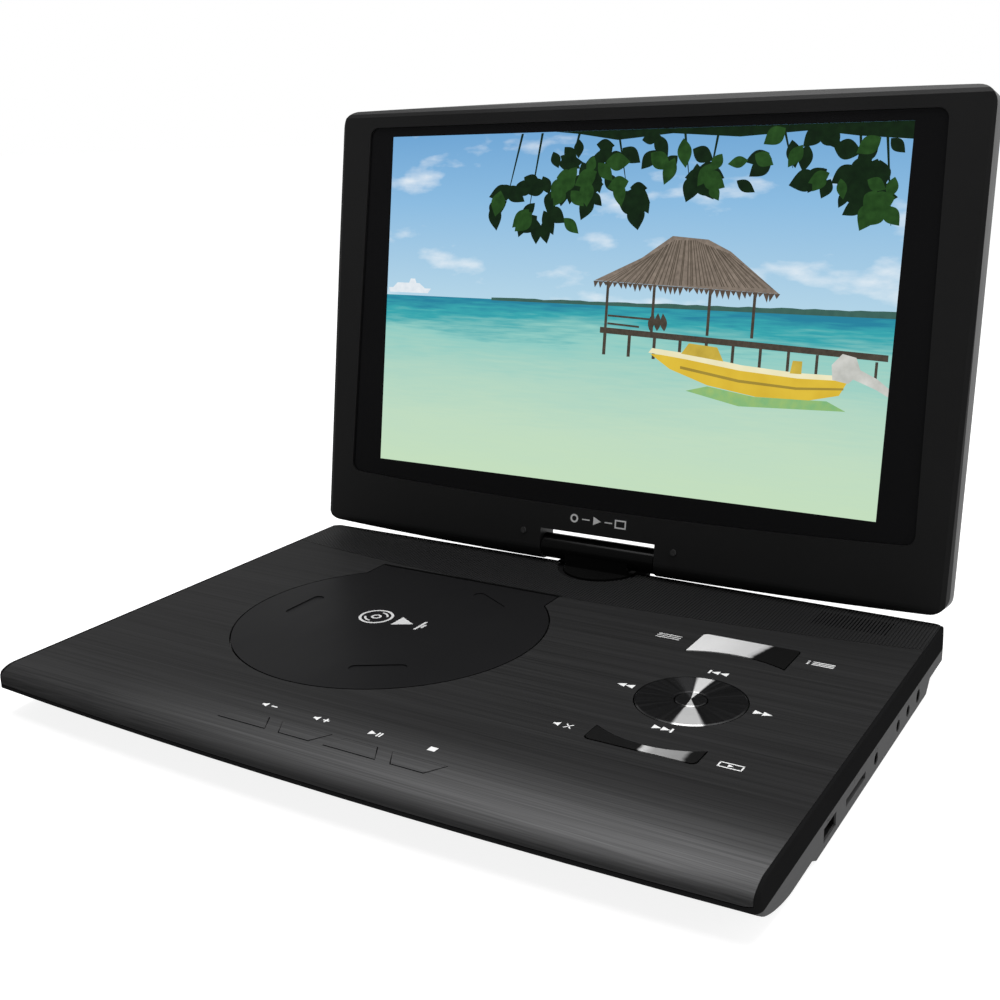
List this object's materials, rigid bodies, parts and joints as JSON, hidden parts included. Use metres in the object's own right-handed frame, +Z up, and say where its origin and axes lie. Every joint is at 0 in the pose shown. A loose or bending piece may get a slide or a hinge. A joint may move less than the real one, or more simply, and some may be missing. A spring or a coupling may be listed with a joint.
{
  "type": "portable disc player",
  "caption": "Portable video disc player: a wide base with a disc bay, a round navigation pad and keys, under a display that swivels and folds on a central turret hinge.",
  "frame": {"origin": "on the table, under the middle of the open player's bounding box", "axes": "+X to the user's right, +Y to the rear, +Z up"},
  "size_m": [0.3586, 0.2926, 0.2603],
  "materials": {
    "shell_grey": "fine moulded texture",
    "rim_black": "polished",
    "deck_dark": "dark anodised, brushed across",
    "band_dark": "fine upright ribs",
    "door_dark": "satin lacquer",
    "well_black": "moulded",
    "steel": "plain sheet",
    "shaft_steel": "ground",
    "motor_steel": "drawn can",
    "rubber": "soft",
    "board_green": "solder mask",
    "chip_black": "moulded",
    "switch_metal": "plated",
    "cell_blue": "shrink film",
    "speaker_black": "paper and plastic",
    "jack_black": "moulded",
    "usb_metal": "stamped",
    "screw_steel": "zinc plated",
    "hinge_black": "polished",
    "lid_black": "fine satin",
    "cover_black": "satin",
    "mask_black": "polished",
    "display": "lit display surface",
    "clear_plate": "clear acrylic",
    "key_dark": "spun metal finish",
    "key_silver": "mirror finish",
    "lens": "coated",
    "magnet": "nickel plated"
  },
  "bodies": {
    "base": {"bottom_shell": "shell_grey", "top_shell": "rim_black", "deck_plate": "deck_dark", "rear_band": "band_dark", "disc_well": "well_black", "loader_frame": "steel", "guide_rods": "shaft_steel", "sled_motor": "motor_steel", "spindle_motor": "motor_steel", "chassis_dampers": "rubber", "main_board": "board_green", "board_chips": "chip_black", "key_board": "board_green", "key_switches": "switch_metal", "front_key_board": "board_green", "battery_cells": "cell_blue", "left_speaker": "speaker_black", "right_speaker": "speaker_black", "dc_jack": "jack_black", "av_in_jack": "jack_black", "av_out_jack": "jack_black", "phone_jack": "jack_black", "card_slot": "jack_black", "usb_socket": "usb_metal", "rubber_feet": "rubber", "shell_screws": "screw_steel", "door_magnet": "magnet", "hinge_mount": "steel"},
    "turret": {"turret": "hinge_black", "turret_ring": "steel"},
    "screen": {"lid_bezel": "lid_black", "lid_cover": "cover_black", "window_mask": "mask_black", "lcd_panel": "display", "light_guide": "clear_plate", "backlight_tray": "steel", "driver_board": "board_green", "tilt_shaft": "shaft_steel", "tilt_brackets": "steel", "lid_bumpers": "rubber", "lid_screws": "screw_steel"},
    "door": {"disc_door": "door_dark", "door_pins": "shaft_steel", "door_strike": "steel"},
    "platter": {"turntable": "well_black", "hub_clips": "switch_metal"},
    "pickup": {"pickup_sled": "motor_steel", "pickup_lens": "lens"},
    "screw": {"lead_screw": "shaft_steel"},
    "nav_gimbal": {"nav_carrier": "chip_black"},
    "nav_pad": {"nav_ring": "key_dark"},
    "enter": {"enter_key": "key_dark"},
    "setup_menu": {"setup_menu_key": "key_silver"},
    "mute_mode": {"mute_mode_key": "key_silver"},
    "vol_down": {"vol_down_key": "door_dark"},
    "vol_up": {"vol_up_key": "door_dark"},
    "play": {"play_key": "door_dark"},
    "stop": {"stop_key": "door_dark"},
    "power": {"power_switch": "jack_black"}
  },
  "joints": [
    {"name": "screen_swivel", "type": "hinge", "parent": "base", "child": "turret", "pos_m": [0, 0.1027, 0.022], "axis": [0, 0, 1], "range_deg": [-180, 0]},
    {"name": "screen_tilt", "type": "hinge", "parent": "turret", "child": "screen", "pos_m": [0, 0.1027, 0.0299], "axis": [-1, 0, 0], "range_deg": [-99.15, 80.85]},
    {"name": "disc_door_hinge", "type": "hinge", "parent": "base", "child": "door", "pos_m": [-0.0525, 0.0519, 0.0199], "axis": [-1, 0, 0], "range_deg": [0, 80]},
    {"name": "turntable_spin", "type": "hinge", "parent": "base", "child": "platter", "pos_m": [-0.0525, -0.014, 0.016], "axis": [0, 0, 1], "continuous": true},
    {"name": "pickup_travel", "type": "slide", "parent": "base", "child": "pickup", "axis": [1, 0, 0], "range_m": [0, 0.034]},
    {"name": "lead_screw_turn", "type": "hinge", "parent": "base", "child": "screw", "pos_m": [-0.0125, -0.038, 0.0084], "axis": [1, 0, 0], "range_deg": [0, 4081]},
    {"name": "nav_tip_front_back", "type": "hinge", "parent": "base", "child": "nav_gimbal", "pos_m": [0.1074, -0.0273, 0.019], "axis": [1, 0, 0], "range_deg": [-1.8, 1.8], "stiffness_Nm_per_rad": 0.3},
    {"name": "nav_tip_left_right", "type": "hinge", "parent": "nav_gimbal", "child": "nav_pad", "pos_m": [0.1074, -0.0273, 0.019], "axis": [0, 1, 0], "range_deg": [-1.8, 1.8], "stiffness_Nm_per_rad": 0.3},
    {"name": "enter_press", "type": "slide", "parent": "base", "child": "enter", "axis": [0, 0, -1], "range_m": [0, 0.0007], "stiffness_N_per_m": 250},
    {"name": "setup_menu_rock", "type": "hinge", "parent": "base", "child": "setup_menu", "pos_m": [0.1075, 0.0327, 0.019], "axis": [0, 1, 0], "range_deg": [-1.6, 1.6], "stiffness_Nm_per_rad": 0.3},
    {"name": "mute_mode_rock", "type": "hinge", "parent": "base", "child": "mute_mode", "pos_m": [0.1071, -0.0713, 0.019], "axis": [0, 1, 0], "range_deg": [-1.6, 1.6], "stiffness_Nm_per_rad": 0.3},
    {"name": "vol_down_press", "type": "slide", "parent": "base", "child": "vol_down", "axis": [0, 0, -1], "range_m": [0, 0.0007], "stiffness_N_per_m": 250},
    {"name": "vol_up_press", "type": "slide", "parent": "base", "child": "vol_up", "axis": [0, 0, -1], "range_m": [0, 0.0007], "stiffness_N_per_m": 250},
    {"name": "play_press", "type": "slide", "parent": "base", "child": "play", "axis": [0, 0, -1], "range_m": [0, 0.0007], "stiffness_N_per_m": 250},
    {"name": "stop_press", "type": "slide", "parent": "base", "child": "stop", "axis": [0, 0, -1], "range_m": [0, 0.0007], "stiffness_N_per_m": 250},
    {"name": "power_slide", "type": "slide", "parent": "base", "child": "power", "axis": [0, 1, 0], "range_m": [0, 0.006]}
  ],
  "couplings": [
    {"joint": "lead_screw_turn", "follows": "pickup_travel", "rad_per_m": 2094.4}
  ]
}
